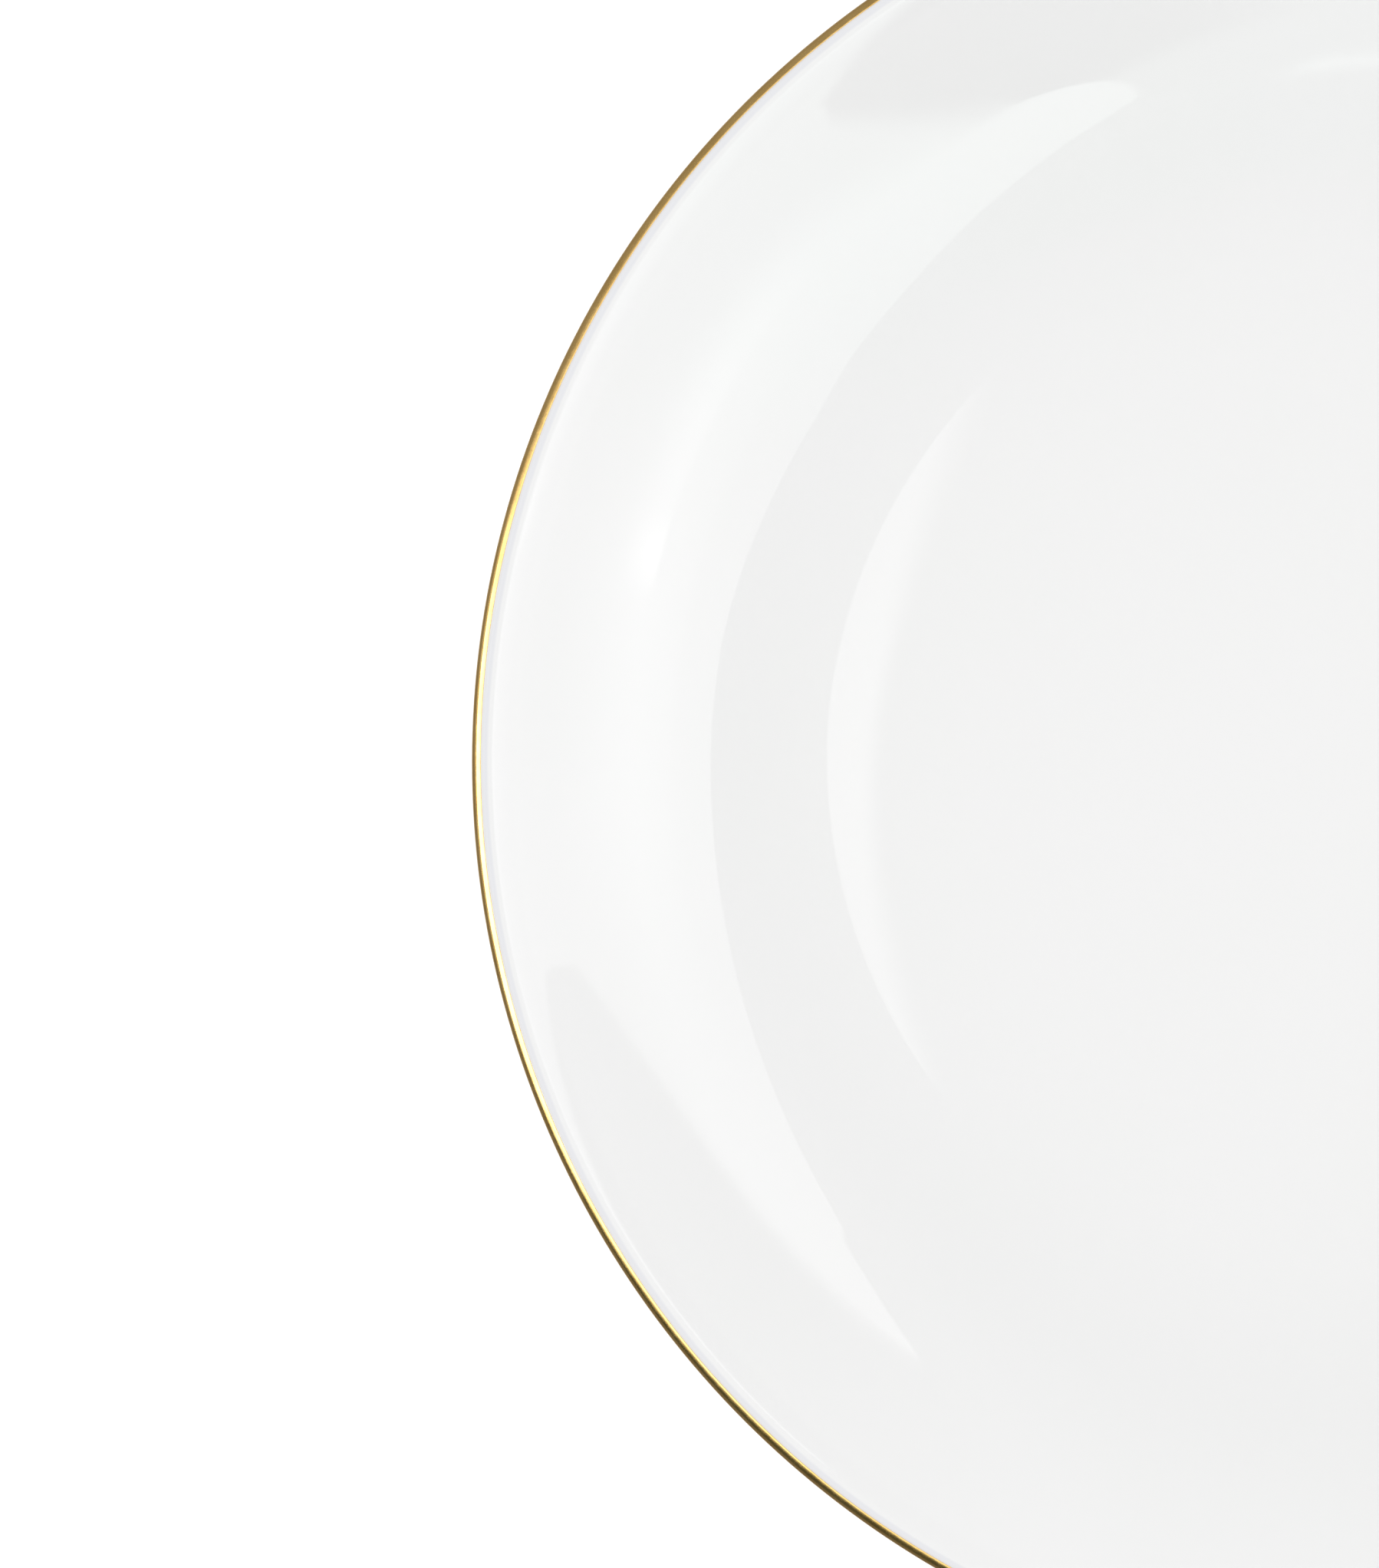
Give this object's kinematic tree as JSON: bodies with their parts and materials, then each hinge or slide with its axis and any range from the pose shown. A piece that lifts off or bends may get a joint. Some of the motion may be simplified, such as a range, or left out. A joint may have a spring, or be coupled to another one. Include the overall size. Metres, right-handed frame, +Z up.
{
  "type": "serving bowl",
  "caption": "Round shallow serving bowl with straight flared walls, a level floor, a foot ring, a glazed surface and a gold-lined lip.",
  "frame": {"origin": "on the table the bowl stands on, under the centre of the bowl", "axes": "+Z up along the bowl's axis; the bowl is round, so +X and +Y are any two level directions at right angles"},
  "size_m": [0.25, 0.25, 0.0461],
  "materials": {
    "fired_clay": "matte",
    "glaze": "gloss",
    "gold": "polished"
  },
  "bodies": {
    "root": {"porcelain_body": "fired_clay", "foot_ring": "fired_clay", "inside_glaze": "glaze", "outside_glaze": "glaze", "base_glaze": "glaze", "gold_rim_band": "gold"}
  },
  "joints": []
}
